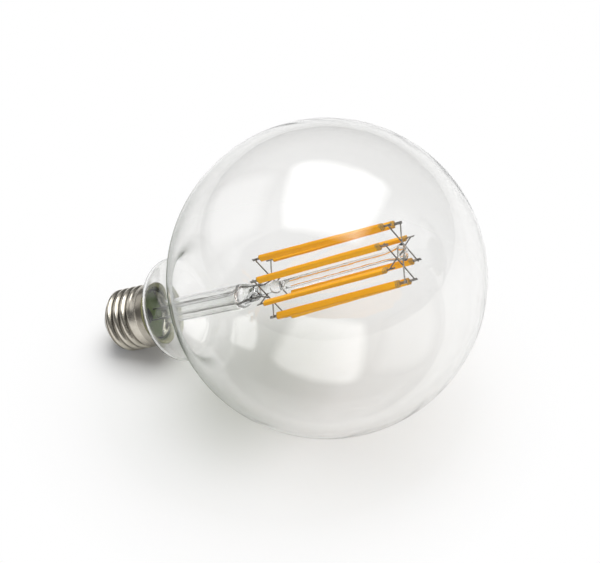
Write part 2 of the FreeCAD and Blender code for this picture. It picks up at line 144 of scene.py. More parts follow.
class Shader:
    """A node tree under construction, of a material or of the world."""

    def __init__(self, tree: bpy.types.NodeTree) -> None:
        """Empties the tree, which must already use nodes."""
        self.tree = tree
        tree.nodes.clear()

    def node(
        self,
        kind: str,
        settings: Mapping[str, Any] | None = None,
        inputs: Mapping[Any, Value] | None = None,
        output: Union[int, str] = 0,
    ) -> Signal:
        """Adds a node of any type.

        Args:
            kind: The node's type name.
            settings: Properties set before the inputs.
            inputs: Values or links by socket name or number; a colour is given without its alpha.
            output: The output socket that the result wraps.

        Returns:
            The chosen output as a signal.
        """
        made = self.tree.nodes.new(kind)
        for name, value in (settings or {}).items():
            setattr(made, name, value)
        for key, value in (inputs or {}).items():
            socket = made.inputs[key]
            if isinstance(value, Signal):
                self.tree.links.new(value.socket, socket)
            elif socket.type == "RGBA":
                socket.default_value = (*value, 1.0)
            else:
                socket.default_value = value
        return Signal(self, made.outputs[output])

    def vector(self, operation: str, inputs: Mapping[Any, Value], output: str = "Vector") -> Signal:
        """Adds one Vector Math node and returns its result."""
        return self.node("ShaderNodeVectorMath", {"operation": operation}, inputs, output)

    def place(self) -> Signal:
        """Returns object coordinates."""
        return self.node("ShaderNodeTexCoord", output="Object")

    def stretched(self, where: Signal, axis: Sequence[float], share: float) -> Signal:
        """Slows coordinates down along an axis.

        Args:
            where: The coordinates.
            axis: The axis, one unit long.
            share: How much of their change along the axis stays.

        Returns:
            The new coordinates.
        """
        height = self.vector("DOT_PRODUCT", {0: where, 1: axis}, "Value")
        back = self.vector("SCALE", {0: axis, "Scale": height * (share - 1.0)})
        return self.vector("ADD", {0: where, 1: back})

    def noise(self, where: Signal, scale: float, detail: float = 3.0, roughness: float = 0.55) -> Signal:
        """Makes fractal noise.

        Args:
            where: The coordinates.
            scale: Waves to a metre.
            detail: Number of finer layers.
            roughness: Strength of each finer layer.

        Returns:
            The noise, between 0 and 1.
        """
        settings = {"noise_dimensions": "3D"}
        inputs = {"Vector": where, "Scale": scale, "Detail": detail, "Roughness": roughness}
        return self.node("ShaderNodeTexNoise", settings, inputs, "Fac")

    def attribute(self, name: str) -> Signal:
        """Returns a layer that the mesh carries, by name."""
        return self.node("ShaderNodeAttribute", {"attribute_name": name}, output="Fac")

    def front(self) -> Signal:
        """Returns 1 on faces met from their front, and 0 on others."""
        return 1.0 - self.node("ShaderNodeNewGeometry", output="Backfacing")

    def blend(self, share: Value, first: Value, second: Value) -> Signal:
        """Returns a colour between two, by share."""
        return self.node("ShaderNodeMix", {"data_type": "RGBA"}, {0: share, 6: first, 7: second}, 2)

    def mixed(self, share: Value, first: Signal, second: Signal) -> Signal:
        """Returns a surface between two, by share."""
        return self.node("ShaderNodeMixShader", inputs={0: share, 1: first, 2: second})

    def bump(self, height: Signal, strength: float, distance: float) -> Signal:
        """Returns a normal bent by a height."""
        inputs = {"Height": height, "Strength": strength, "Distance": distance}
        return self.node("ShaderNodeBump", inputs=inputs)

    def emission(self, strength: float) -> Signal:
        """Returns a surface that gives plain white light."""
        return self.node("ShaderNodeEmission", inputs={"Color": WHITE, "Strength": strength})

    def light_path(self, *rays: str) -> Signal:
        """Tells kinds of ray apart.

        Args:
            rays: Names of the kinds.

        Returns:
            1 where the ray is of one of them, and 0 elsewhere.
        """
        signals = [self.node("ShaderNodeLightPath", output=ray) for ray in rays]
        total = signals[0]
        for signal in signals[1:]:
            total = total.highest(signal)
        return total

    def surface(self, shader: Signal) -> None:
        """Makes a shader the surface of this tree's output.

        Args:
            shader: The finished surface, or the world's light.
        """
        ends = "World" if isinstance(self.tree.id_data, bpy.types.World) else "Material"
        made = self.tree.nodes.new(f"ShaderNodeOutput{ends}")
        self.tree.links.new(shader.socket, made.inputs["Surface"])


# Finishes


@dataclass(frozen=True)
class Finish:
    """A surface finish that makes its own material once."""

    name: str

    def shade(self, shader: Shader) -> Signal:
        """Builds the finish's surface in the given tree and returns it."""
        raise NotImplementedError

    def material(self) -> bpy.types.Material:
        """Makes the finish's material on first use.

        Returns:
            The material.
        """
        found = bpy.data.materials.get(self.name)
        if found:
            return found
        made = bpy.data.materials.new(self.name)
        made.use_nodes = True
        shader = Shader(made.node_tree)
        shader.surface(self.shade(shader))
        return made


@dataclass(frozen=True)
class BlownGlass(Finish):
    """Clear blown glass with a grey-green edge and drawn lines along the bulb's axis.

    Attributes:
        tint: Its colour seen straight on.
        edge: Its colour seen edge on.
        edge_power: How narrow the coloured edge is.
        edge_share: How strong it is.
        edge_shade_share: Strength of the matt dark band at the edge where the mesh marks the glass as thick:
            partly the thick glass's own grey-green, partly painted shade of the dark surroundings seen
            through the edge.
        line_scale: Drawn lines to a metre across the axis.
        line_length: The lines' scale along the axis, as a share of that across it.
        waviness: How much the lines bend the light.
        calm: Share of the thick glass that bends light without reflecting it.
        thin_shade: Light that a thin wall lets straight through.
        thick_shade: Light that a thick wall lets straight through.
        index: How much it bends light.
        smear_scale: Smears to a metre.
    """

    tint: Colour
    edge: Colour
    edge_power: float
    edge_share: float = 0.5
    edge_shade_share: float = 0.0
    line_scale: float = 60.0
    line_length: float = 0.25
    waviness: float = 0.05
    calm: float = 0.0
    thin_shade: Colour = (0.97, 0.971, 0.967)
    thick_shade: Colour = (0.76, 0.77, 0.74)
    index: float = 1.5
    smear_scale: float = 60.0

    def shade(self, shader: Shader) -> Signal:
        """Clear glass that lets lamp light straight through to what lies behind.

        Args:
            shader: The empty tree.

        Returns:
            The surface.
        """
        where = shader.place()
        facing = shader.node("ShaderNodeLayerWeight", inputs={"Blend": 0.5}, output="Facing")
        entering = shader.front()
        thick = shader.attribute("thick")
        rim = ((facing ** self.edge_power) * self.edge_share * entering).clamped()
        lines = shader.noise(shader.stretched(where, BULB_AXIS, self.line_length), self.line_scale, 2.0)
        lines = lines * (1.0 - thick * 0.8) * (1.0 - facing ** 3.0)
        smear = shader.noise(where, self.smear_scale, 4.0)
        normal = shader.bump(lines, self.waviness, 0.002)
        clear = shader.node(
            "ShaderNodeBsdfPrincipled",
            inputs={
                "Base Color": shader.blend(rim, self.tint, self.edge),
                "Transmission Weight": 1.0,
                "IOR": self.index,
                "Roughness": (smear - 0.55).clamped() * 0.05,
                "Normal": normal,
            },
        )
        still = shader.node(
            "ShaderNodeBsdfRefraction",
            inputs={"Color": self.tint, "Roughness": 0.0, "IOR": self.index, "Normal": normal},
        )
        glass = shader.mixed(thick * (1.0 - facing ** 2.0) * self.calm, clear, still)
        # painted shade: a matt dark band at the thick glass's edge, in its own grey-green, stands in for the
        # dark surroundings seen through the edge
        dull = shader.node("ShaderNodeBsdfDiffuse", inputs={"Color": self.edge})
        painted_edge_shade = ((facing ** 5.0) * thick * self.edge_shade_share * entering).clamped() * 0.85
        thin_pass, thick_pass = (
            shader.node("ShaderNodeBsdfTransparent", inputs={"Color": colour})
            for colour in (self.thin_shade, self.thick_shade)
        )
        passing = shader.light_path("Is Shadow Ray", "Is Diffuse Ray")
        return shader.mixed(
            passing, shader.mixed(painted_edge_shade, glass, dull), shader.mixed(thick, thin_pass, thick_pass)
        )


@dataclass(frozen=True)
class PlatedMetal(Finish):
    """Plated or drawn metal with faint stains, a fine grain, and a darker tone where the mesh marks it.

    Attributes:
        bright: Its clean colour.
        dull: Its stained colour.
        roughness: Roughness where it is clean.
        dark_tone: Colour it turns towards where the mesh marks it; on the cap this paints shade into the
            grooves and darkens the skirt.
        grain: Depth of the grain.
        stain_scale: Stains to a metre.
        grain_scale: Grains to a metre.
    """

    bright: Colour
    dull: Colour
    roughness: float
    dark_tone: Colour = (0.09, 0.075, 0.055)
    grain: float = 0.08
    stain_scale: float = 120.0
    grain_scale: float = 2600.0

    def shade(self, shader: Shader) -> Signal:
        """Metal darkened a little by stains, and more where the mesh marks it, which paints shade into the
        cap's grooves.

        Args:
            shader: The empty tree.

        Returns:
            The surface.
        """
        where = shader.place()
        stain = shader.noise(where, self.stain_scale, 5.0, 0.6)
        grain = shader.noise(where, self.grain_scale, 2.0)
        stained = ((stain - 0.42) * 3.0).clamped()
        plate = shader.blend(stained, self.bright, self.dull)
        # painted shade: the cap's grooves are darkened by their depth, and its skirt is darkened too
        darkening = shader.attribute("dark_mark") ** 2.5 * 0.75
        return shader.node(
            "ShaderNodeBsdfPrincipled",
            inputs={
                "Base Color": shader.blend(darkening, plate, self.dark_tone),
                "Metallic": 1.0,
                "Roughness": stained * 0.12 + grain * 0.06 + self.roughness,
                "Normal": shader.bump(grain, self.grain, 0.00005),
            },
        )


@dataclass(frozen=True)
class Phosphor(Finish):
    """The amber silicone coat of a filament, which shows the strip's grey end pads.

    Attributes:
        crown: Colour on its rounded top.
        side: Colour towards its edges, where the mesh marks them.
        speck: Colour of the coarser phosphor grains.
        pad: Colour where the pads show, near the ends that the mesh marks.
        painted_glow: Strength of the coat's painted glow, light given off by a coat that is no lamp.
        lump_scale: Lumps to a metre.
        grain_scale: Grains to a metre.
    """

    crown: Colour
    side: Colour
    speck: Colour = (0.97, 0.66, 0.08)
    pad: Colour = (0.2, 0.18, 0.1)
    painted_glow: float = 0.25
    lump_scale: float = 420.0
    grain_scale: float = 3200.0

    def shade(self, shader: Shader) -> Signal:
        """A smooth amber coat with a fine grain of phosphor, brightened by a painted glow.

        Args:
            shader: The empty tree.

        Returns:
            The surface.
        """
        where = shader.place()
        lumps = shader.noise(where, self.lump_scale, 3.0)
        grain = shader.noise(where, self.grain_scale, 2.0)
        near_edge = (shader.attribute("edge") + (lumps - 0.5) * 0.5).clamped()
        body = shader.blend(near_edge, self.crown, self.side)
        speckled = shader.blend(((grain - 0.6) * 4.0).clamped() * 0.3, body, self.speck)
        near_end = (((grain - 0.5) * 3.0 + shader.attribute("end") - 0.7) * 4.0).clamped() * 0.75
        coat = shader.blend(near_end, speckled, self.pad)
        return shader.node(
            "ShaderNodeBsdfPrincipled",
            inputs={
                "Base Color": coat,
                "Roughness": grain * 0.12 + 0.3,
                "Specular IOR Level": 0.12,
                # painted glow: the coat gives off light in its own colour
                "Emission Color": coat,
                "Emission Strength": self.painted_glow,
                "Normal": shader.bump(lumps + grain * 0.3, 0.2, 0.0002),
            },
        )


@dataclass(frozen=True)
class Matt(Finish):
    """A mineral or moulded surface in two close tones.

    Attributes:
        light: Its lighter tone.
        dark: Its darker tone.
        roughness: Roughness in the dark tone.
        scale: Patches to a metre.
        relief: Depth of its unevenness.
        gloss: Strength of its reflections.
    """

    light: Colour
    dark: Colour
    roughness: float
    scale: float = 900.0
    relief: float = 0.3
    gloss: float = 0.5

    def shade(self, shader: Shader) -> Signal:
        """A surface mottled between its two tones.

        Args:
            shader: The empty tree.

        Returns:
            The surface.
        """
        mottle = shader.noise(shader.place(), self.scale, 5.0, 0.6)
        share = ((mottle - 0.35) * 3.0).clamped()
        return shader.node(
            "ShaderNodeBsdfPrincipled",
            inputs={
                "Base Color": shader.blend(share, self.dark, self.light),
                "Roughness": mottle * 0.15 + self.roughness,
                "Specular IOR Level": self.gloss,
                "Normal": shader.bump(mottle, self.relief, 0.0002),
            },
        )


class Dress(Enum):
    """Every finish on the bulb, with the record's slot that it stands for."""

    GLOBE = (
        "clear_glass",
        BlownGlass("globe glass", (0.97, 0.969, 0.964), (0.16, 0.19, 0.14), edge_power=9.0, edge_shade_share=1.6),
    )
    MOUNT = (
        "mount_glass",
        BlownGlass(
            "mount glass",
            (0.99, 0.995, 0.99),
            (0.45, 0.47, 0.45),
            edge_power=3.0,
            line_scale=900.0,
            line_length=0.01,
            waviness=0.09,
            calm=0.85,
        ),
    )
    PHOSPHOR = ("amber_phosphor", Phosphor("amber phosphor", (0.93, 0.475, 0.012), (0.8, 0.35, 0.006)))
    CARRIER = ("carrier_ceramic", Matt("carrier strip", (0.9, 0.87, 0.78), (0.8, 0.76, 0.66), 0.45))
    TAB = ("nickel_tab", PlatedMetal("tab metal", (0.34, 0.33, 0.31), (0.2, 0.19, 0.18), 0.35))
    WIRE = ("nickel_wire", PlatedMetal("wire metal", (0.3, 0.29, 0.27), (0.14, 0.13, 0.12), 0.35))
    CAP = ("nickel_cap", PlatedMetal("nickel plate", (0.68, 0.64, 0.56), (0.5, 0.46, 0.39), 0.19))
    CAP_GLASS = (
        "cap_glass",
        Matt("cap glass", (0.035, 0.035, 0.04), (0.015, 0.015, 0.018), 0.12, scale=200.0, relief=0.05),
    )
    CONTACT = ("contact_metal", PlatedMetal("contact metal", (0.78, 0.72, 0.58), (0.5, 0.44, 0.33), 0.3))
    CEMENT = (
        "cement",
        Matt("cement", (0.22, 0.22, 0.05), (0.08, 0.085, 0.02), 0.8, scale=500.0, relief=0.6, gloss=0.1),
    )
    BOARD = (
        "board",
        Matt("board", (0.13, 0.112, 0.004), (0.024, 0.023, 0.002), 0.6, scale=400.0, relief=0.2, gloss=0.05),
    )
    CASE = ("black_case", Matt("black case", (0.04, 0.04, 0.04), (0.02, 0.02, 0.02), 0.4))
    CAN = ("capacitor_can", PlatedMetal("capacitor can", (0.62, 0.63, 0.65), (0.5, 0.5, 0.52), 0.3))
    RESISTOR = ("resistor_ceramic", Matt("resistor body", (0.6, 0.56, 0.42), (0.5, 0.46, 0.34), 0.5))

    def __init__(self, slot: str, finish: Finish) -> None:
        """Keeps the slot's name and the finish."""
        self.slot = slot
        self.finish = finish

    def put_on(self, piece: bpy.types.Object) -> None:
        """Gives a piece this finish's material.

        Args:
            piece: The piece to dress.
        """
        piece.data.materials.clear()
        piece.data.materials.append(self.finish.material())


# Shaping


@dataclass(frozen=True)
class Lay:
    """How the bulb lies in the row frame, and how its pieces are finished off."""

    to_row: Matrix

    def finish(
        self,
        mesh: BMesh,
        name: str,
        dress: Dress,
        nodes: Sequence[str],
        sharp: float = 40.0,
    ) -> None:
        """Turns a mesh in the bulb's frame into a finished piece in the row frame.

        Args:
            mesh: The form in millimetres; it is used up.
            name: The piece's name.
            dress: Its finish.
            nodes: The frame's nodes that it stands for.
            sharp: Edges that turn by more degrees than this stay crisp.
        """
        mesh.transform(self.to_row)
        data = bpy.data.meshes.new(name)
        mesh.to_mesh(data)
        mesh.free()
        data.shade_smooth()
        data.set_sharp_from_angle(angle=math.radians(sharp))
        piece = bpy.data.objects.new(name, data)
        bpy.context.scene.collection.objects.link(piece)
        dress.put_on(piece)
        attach(piece, "root")
        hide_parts(*nodes)
        LOG.info("%s: %d faces, stands for %d nodes", name, len(data.polygons), len(nodes))


class Section:
    """A section through the bulb's axis, drawn point by point and then spun round."""

    def __init__(self, r: float, z: float) -> None:
        """Starts the section.

        Args:
            r: Radius of its first point.
            z: Height of its first point.
        """
        self.mesh = bmesh.new()
        self.first = self.mesh.verts.new((r, 0.0, z))
        self.tip = self.first

    def line(self, r: float, z: float, parts: int = 1) -> "Section":
        """Draws a straight line.

        Args:
            r: Radius of its end.
            z: Height of its end.
            parts: Number of equal parts.

        Returns:
            The section, to be drawn further.
        """
        step = (Vector((r, 0.0, z)) - self.tip.co) / parts
        for _ in range(parts):
            self.tip = bmesh.ops.extrude_vert_indiv(self.mesh, verts=[self.tip])["verts"][0]
            bmesh.ops.translate(self.mesh, verts=[self.tip], vec=step)
        return self

    def arc(self, r: float, z: float, degrees: float, parts: int) -> "Section":
        """Draws an arc about a centre.

        Args:
            r: Radius of the centre.
            z: Height of the centre.
            degrees: How far it turns, anticlockwise where positive.
            parts: Number of equal parts.

        Returns:
            The section, to be drawn further.
        """
        spun = bmesh.ops.spin(
            self.mesh,
            geom=[self.tip],
            cent=(r, 0.0, z),
            axis=(0.0, -1.0, 0.0),
            dvec=(0.0, 0.0, 0.0),
            angle=math.radians(degrees),
            steps=parts,
            use_merge=False,
            use_duplicate=False,
        )
        self.tip = next(item for item in spun["geom_last"] if isinstance(item, BMVert))
        return self

    @property
    def r(self) -> float:
        """Radius of the section's last point."""
        return self.tip.co.x

    @property
    def z(self) -> float:
        """Height of the section's last point."""
        return self.tip.co.z

    def spun(self, steps: int, closed: bool = True) -> BMesh:
        """Spins the section into a solid of revolution.

        Args:
            steps: Number of faces round the axis.
            closed: Whether the section's end joins its start.

        Returns:
            The mesh, with its poles closed and its faces pointing outwards.
        """
        if closed:
            self.mesh.edges.new((self.tip, self.first))
        bmesh.ops.spin(
            self.mesh,
            geom=self.mesh.verts[:] + self.mesh.edges[:],
            cent=(0.0, 0.0, 0.0),
            axis=(0.0, 0.0, 1.0),
            dvec=(0.0, 0.0, 0.0),
            angle=math.tau,
            steps=steps,
            use_merge=True,
            use_duplicate=False,
        )
        return tidied(self.mesh)


def held(value: float, low: float = 0.0, high: float = 1.0) -> float:
    """Returns a value held between two others."""
    return min(max(value, low), high)


def around(degrees: float, r: float, z: float = 0.0) -> Vector:
    """Returns the point at an angle, radius and height about the axis."""
    a = math.radians(degrees)
    return Vector((r * math.cos(a), r * math.sin(a), z))


def along(a: Vector, b: Vector) -> Matrix:
    """Returns the turn that takes +Z to the direction from a to b."""
    return (b - a).to_track_quat("Z", "Y").to_matrix().to_4x4()


def tidied(mesh: BMesh) -> BMesh:
    """Merges doubles and points all faces outwards.

    Args:
        mesh: The mesh to tidy.

    Returns:
        The same mesh.
    """
    bmesh.ops.remove_doubles(mesh, verts=mesh.verts, dist=0.0005)
    bmesh.ops.recalc_face_normals(mesh, faces=mesh.faces)
    return mesh


def gather(meshes: Iterable[BMesh]) -> BMesh:
    """Puts several meshes into one, without joining them.

    Args:
        meshes: The meshes; they are used up.

    Returns:
        The one mesh.
    """
    whole = bmesh.new()
    for mesh in meshes:
        part = bpy.data.meshes.new("part")
        mesh.to_mesh(part)
        mesh.free()
        whole.from_mesh(part)
        bpy.data.meshes.remove(part)
    return whole


def threaded(rings: Sequence[Matrix], segments: int, capped: bool = True) -> BMesh:
    """Joins a row of unit rings, each set in place by its matrix, into one skin.

    Args:
        rings: Where each ring stands, from foot to top.
        segments: Number of points in a ring.
        capped: Whether both ends are closed.

    Returns:
        The skin.
    """
    mesh = bmesh.new()
    loops: list[list[BMEdge]] = []
    for ring in rings:
        made = bmesh.ops.create_circle(mesh, cap_ends=False, radius=1.0, segments=segments, matrix=ring)
        loops.append(list({edge for vert in made["verts"] for edge in vert.link_edges}))
    for lower, upper in zip(loops, loops[1:]):
        bmesh.ops.bridge_loops(mesh, edges=lower + upper)
    if capped:
        bmesh.ops.edgeloop_fill(mesh, edges=loops[0])
        bmesh.ops.edgeloop_fill(mesh, edges=loops[-1])
    return tidied(mesh)


def wire(points: Sequence[Vector], radius: float, segments: int = 14) -> BMesh:
    """Draws a round wire along straight stretches, mitred at its bends.

    Args:
        points: The wire's middle line.
        radius: Its radius.
        segments: Number of faces round it.

    Returns:
        The closed wire.
    """
    rings = []
    for k, spot in enumerate(points):
        before = points[max(k - 1, 0)]
        after = points[min(k + 1, len(points) - 1)]
        steps = [v.normalized() for v in (spot - before, after - spot) if v.length > 1e-9]
        heading = sum(steps, Vector()).normalized()
        stretch = 1.0 / max(heading.dot(steps[0]), 0.5)
        size = Matrix.Diagonal((radius, radius * stretch, radius, 1.0))
        rings.append(Matrix.Translation(spot) @ along(Vector(), heading) @ size)
    return threaded(rings, segments)


def bar(width: float, depth: float, low: float, high: float) -> BMesh:
    """Makes an upright bar on the axis, with its flat across the depth.

    Args:
        width: Its size along X.
        depth: Its size along Y.
        low: Height of its foot.
        high: Height of its top.

    Returns:
        The bar.
    """
    size = Matrix.Diagonal((width, depth, high - low, 1.0))
    mesh = bmesh.new()
    bmesh.ops.create_cube(mesh, size=1.0, matrix=Matrix.Translation((0, 0, (low + high) / 2)) @ size)
    return mesh


def rounded(mesh: BMesh, edges: Sequence[BMEdge], radius: float, parts: int) -> None:
    """Rounds some edges of a mesh.

    Args:
        mesh: The mesh.
        edges: The edges to round.
        radius: Their new radius.
        parts: Number of faces across each.
    """
    bmesh.ops.bevel(
        mesh,
        geom=list(edges),
        offset=radius,
        offset_type="OFFSET",
        segments=parts,
        profile=0.5,
        affect="EDGES",
        material=-1,
    )


# Pieces of the bulb


@dataclass
class Envelope:
    """The globe and neck, blown in one piece with a real wall."""

    globe_r: float = 62.5
    wall: float = 0.9
    neck_r: float = 21.5
    waist_r: float = 20.0
    shoulder_r: float = 6.0
    shoulder_turn: float = 50.0
    shoulder_rise: float = 1.7
    end_r: float = 11.7
    end_z: float = -88.0
    steps: int = 160
    thick_from_z: float = -25.0
    thick_full_z: float = -50.0
    neck_thin_z: float = -60.0
    cap_near_z: float = -70.0
    neck_thick: float = 0.3

    def wall_side(self, section: Section, inset: float) -> Section:
        """Draws one side of the wall, from the crown to the neck's end.

        Args:
            section: A section that starts at the crown.
            inset: How far inside the outer side it lies.

        Returns:
            The section, drawn to the neck's end.
        """
        ring_r = self.neck_r + self.waist_r
        ring_z = -math.sqrt((self.globe_r + self.waist_r) ** 2 - ring_r**2)
        meet = -math.degrees(math.atan2(-ring_z, ring_r))
        section.arc(0.0, 0.0, meet - 90.0, 84)
        section.arc(ring_r, ring_z, -meet, 18)
        corner_z = ring_z - self.shoulder_rise
        section.line(section.r, corner_z, 1)
        section.arc(self.neck_r - self.shoulder_r, corner_z, -self.shoulder_turn, 10)
        end_r = self.end_r - inset
        drop = (section.r - end_r) / math.tan(math.radians(self.shoulder_turn))
        return section.line(end_r, section.z - drop, 4).line(end_r, self.end_z, 2)

    def thickness(self, z: float) -> float:
        """How thick the glass looks at a height, which is most where globe and neck meet.

        Args:
            z: The height.

        Returns:
            The mark for the glass finish, between 0 and 1.
        """
        below = held((self.thick_from_z - z) / (self.thick_from_z - self.thick_full_z))
        above = (z - self.cap_near_z) / (self.neck_thin_z - self.cap_near_z)
        return below * held(above, self.neck_thick)

    def build(self, lay: Lay) -> None:
        """Builds the globe and neck.

        Args:
            lay: How the bulb lies.
        """
        outer = self.wall_side(Section(0.0, self.globe_r), 0.0)
        inner = self.wall_side(Section(0.0, self.globe_r - self.wall), self.wall)
        shell = gather([outer.spun(self.steps, False), inner.spun(self.steps, False)])
        rims = [edge for edge in shell.edges if edge.is_boundary]
        bmesh.ops.bridge_loops(shell, edges=rims)
        thick = shell.verts.layers.float.new("thick")
        for vert in shell.verts:
            vert[thick] = self.thickness(vert.co.z)
        lay.finish(tidied(shell), "clear_globe", Dress.GLOBE, ["glass_envelope"], 70.0)


@dataclass
class ScrewCap:
    """The threaded shell, its insulating cone and its contact, whose edge has a width and a drop."""

    skirt_r: float = 13.2
    crest_r: float = 13.1
    root_r: float = 12.13
    pitch: float = 25.4 / 7.0
    crest_width: float = 0.8
    root_width: float = 0.9
    crest_z: float = -96.4
    thread_top_z: float = -87.7
    thread_bottom_z: float = -102.2
    thread_rows: int = 76
    run_out: float = 0.25
    rim_z: float = -83.5
    end_z: float = -104.0
    end_r: float = 11.6
    wall: float = 0.3
    # how far the skirt is darkened towards the dark tone
    skirt_dark: float = 0.75
    cone_foot_r: float = 6.4
    cone_foot_z: float = -109.0
    cone_round: float = 0.5
    cone_inset: float = 0.35
    contact_r: float = 5.2
    contact_dome: float = 1.3
    contact_edge: tuple[float, float] = (0.3, 0.25)

    def groove_depth(self, turn: float, z: float) -> float:
        """Finds how deep the thread's groove is.

        Args:
            turn: Angle about the axis, in turns.
            z: Height.

        Returns:
            The depth below the crests.
        """
        low = self.crest_z + self.pitch / 2.0
        while low > self.end_z - self.root_width:
            low -= self.pitch
        turns = (self.thread_top_z - self.pitch / 2.0 - low) / self.pitch
        lap = round((z - low) / self.pitch - turn)
        aside = abs(z - low - self.pitch * (lap + turn))
        mouth = (self.pitch - self.crest_width) / 2.0
        rise = held((aside - self.root_width / 2.0) / (mouth - self.root_width / 2.0))
        flank = 1.0 - rise * rise * (3.0 - 2.0 * rise)
        fade = held((lap + turn - turns) / self.run_out)
        return (self.crest_r - self.root_r) * flank * (1.0 - fade)

    def shell(self) -> BMesh:
        """Makes the shell: a spun wall whose outside is pressed in along the groove.

        Returns:
            The shell, with painted shade marked in its groove by depth, and its skirt marked darker.
        """
        inner_r = self.root_r - self.wall
        skirt_z = self.thread_top_z + self.skirt_r - self.root_r
        section = Section(self.end_r - self.wall, self.end_z)
        section.line(self.end_r, self.end_z).line(self.crest_r, self.thread_bottom_z, 10)
        section.line(self.crest_r, self.thread_top_z, self.thread_rows).line(self.skirt_r, skirt_z, 4)
        section.line(self.skirt_r, self.rim_z, 6).line(self.skirt_r - self.wall, self.rim_z)
        section.line(self.skirt_r - self.wall, skirt_z).line(inner_r, self.thread_top_z)
        section.line(inner_r, self.thread_bottom_z)
        mesh = section.spun(144)
        dark_mark = mesh.verts.layers.float.new("dark_mark")
        for vert in mesh.verts:
            r = math.hypot(vert.co.x, vert.co.y)
            turn = math.atan2(vert.co.y, vert.co.x) / math.tau
            depth = self.groove_depth(turn, vert.co.z)
            pressed = min(r, self.crest_r - depth)
            if r > inner_r + self.wall / 2.0 and self.end_z < vert.co.z < skirt_z and pressed < r:
                vert.co.xy *= pressed / r
                # painted shade in the groove, deepest at its root
                vert[dark_mark] = depth / (self.crest_r - self.root_r)
            elif vert.co.z > skirt_z:
                # the skirt is darkened evenly
                vert[dark_mark] = self.skirt_dark
        return mesh

    def cone(self) -> BMesh:
        """Makes the insulating cone.

        Returns:
            The cone, with a rounded foot.
        """
        foot_r = self.cone_foot_r - self.cone_round
        top_r = self.end_r - self.cone_inset
        section = Section(0.0, self.cone_foot_z).line(foot_r, self.cone_foot_z)
        section.arc(foot_r, self.cone_foot_z + self.cone_round, 60.0, 5)
        section.line(top_r, self.end_z - self.cone_inset, 3).line(top_r, self.thread_bottom_z)
        return section.line(0.0, self.thread_bottom_z).spun(72)

    def contact(self) -> BMesh:
        """Makes the contact.

        Returns:
            The flat-topped dome.
        """
        top_z = self.cone_foot_z - self.contact_dome
        edge, drop = self.contact_edge
        section = Section(0.0, top_z).line(self.contact_r / 2.0, top_z)
        section.line(self.contact_r - edge, self.cone_foot_z - drop, 3)
        return section.line(self.contact_r, self.cone_foot_z).line(0.0, self.cone_foot_z).spun(60)

    def build(self, lay: Lay) -> None:
        """Builds the cap's pieces from the shell to the contact.

        Args:
            lay: How the bulb lies.
        """
        lay.finish(self.shell(), "screw_shell", Dress.CAP, ["cap_shell"], 50.0)
        lay.finish(self.cone(), "cap_cone", Dress.CAP_GLASS, ["cap_insulator"])
        lay.finish(self.contact(), "foot_contact", Dress.CONTACT, ["centre_contact"])


